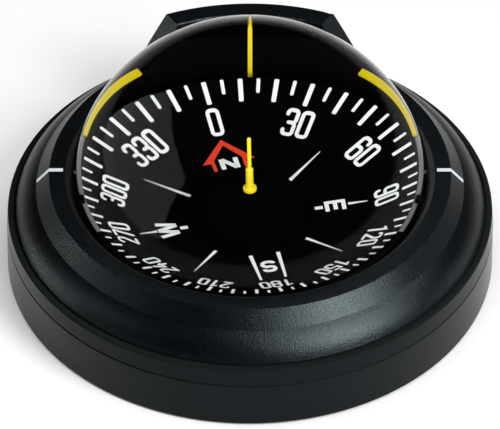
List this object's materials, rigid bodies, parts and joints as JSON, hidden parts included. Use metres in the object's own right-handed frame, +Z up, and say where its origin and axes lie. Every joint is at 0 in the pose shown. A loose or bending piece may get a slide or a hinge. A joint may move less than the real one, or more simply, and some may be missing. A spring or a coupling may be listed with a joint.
{
  "type": "deck-mounted steering compass",
  "caption": "Round deck-mounted steering compass: liquid-filled dome over a gimballed turning dial, in a two-part black casing with a lamp hood.",
  "frame": {"origin": "centre of the casing's underside, on the deck face", "axes": "+Z up out of the deck, +Y forward to the hood and the forward lubber, +X to the right"},
  "size_m": [0.1744, 0.1744, 0.0905],
  "materials": {
    "casing_black": "fine spark-eroded moulded black",
    "seal_rubber": "smooth black rubber",
    "dome_clear": "clear polished acrylic",
    "inner_black": "matte black moulding",
    "stainless": "plain stainless steel",
    "brass": "turned brass",
    "lens_red": "red translucent window",
    "board_green": "circuit board",
    "led_red": "small lamp body",
    "lead_sheath": "black sheath",
    "weight_metal": "cast weight",
    "marker_yellow": "yellow moulded marker",
    "dial_black": "black dial with white print",
    "jewel": "polished jewel",
    "float_foam": "closed-cell float",
    "magnet_steel": "bar magnet",
    "bellows_metal": "corrugated thin metal"
  },
  "bodies": {
    "casing": {"base_ring": "casing_black", "bezel_cover": "casing_black", "base_gasket": "seal_rubber", "bezel_seal": "seal_rubber", "dome_seal": "seal_rubber", "filler_seal": "seal_rubber", "dome": "dome_clear", "bowl": "inner_black", "dome_clamp_ring": "inner_black", "clamp_screws": "stainless", "cover_screws": "stainless", "mounting_inserts": "brass", "lamp_housing": "inner_black", "lamp_lens": "lens_red", "lamp_board": "board_green", "lamp_leds": "led_red", "lamp_inlet": "inner_black", "inlet_pins": "brass", "lamp_lead": "lead_sheath", "gimbal_carrier": "inner_black", "roll_pins": "stainless", "expansion_bellows": "bellows_metal", "filler_plug": "brass"},
    "gimbal": {"gimbal_ring": "inner_black", "pitch_pins": "stainless"},
    "lubber_cradle": {"cradle": "inner_black", "cradle_weight": "weight_metal", "pivot_post": "stainless", "lubber_arcs": "marker_yellow", "lubber_post": "marker_yellow"},
    "card": {"card_dial": "dial_black", "card_hub": "dial_black", "jewel_cup": "jewel", "card_float": "float_foam", "card_magnets": "magnet_steel", "card_needle": "marker_yellow"},
    "side_corrector": {"side_corrector_spindle": "brass", "side_corrector_magnet": "magnet_steel", "side_corrector_clip": "stainless"},
    "rear_corrector": {"rear_corrector_spindle": "brass", "rear_corrector_magnet": "magnet_steel", "rear_corrector_clip": "stainless"}
  },
  "joints": [
    {"name": "roll", "type": "hinge", "parent": "casing", "child": "gimbal", "pos_m": [0, 0, 0.023], "axis": [0, 1, 0], "range_deg": [-12, 12]},
    {"name": "pitch", "type": "hinge", "parent": "gimbal", "child": "lubber_cradle", "pos_m": [0, 0, 0.023], "axis": [1, 0, 0], "range_deg": [-12, 12]},
    {"name": "dial_turn", "type": "hinge", "parent": "lubber_cradle", "child": "card", "pos_m": [0, 0, 0.026], "axis": [0, 0, 1], "continuous": true},
    {"name": "side_corrector_turn", "type": "hinge", "parent": "casing", "child": "side_corrector", "pos_m": [0.07, 0, 0.0083], "axis": [1, 0, 0], "continuous": true},
    {"name": "rear_corrector_turn", "type": "hinge", "parent": "casing", "child": "rear_corrector", "pos_m": [0, 0.07, 0.0083], "axis": [0, 1, 0], "continuous": true}
  ]
}
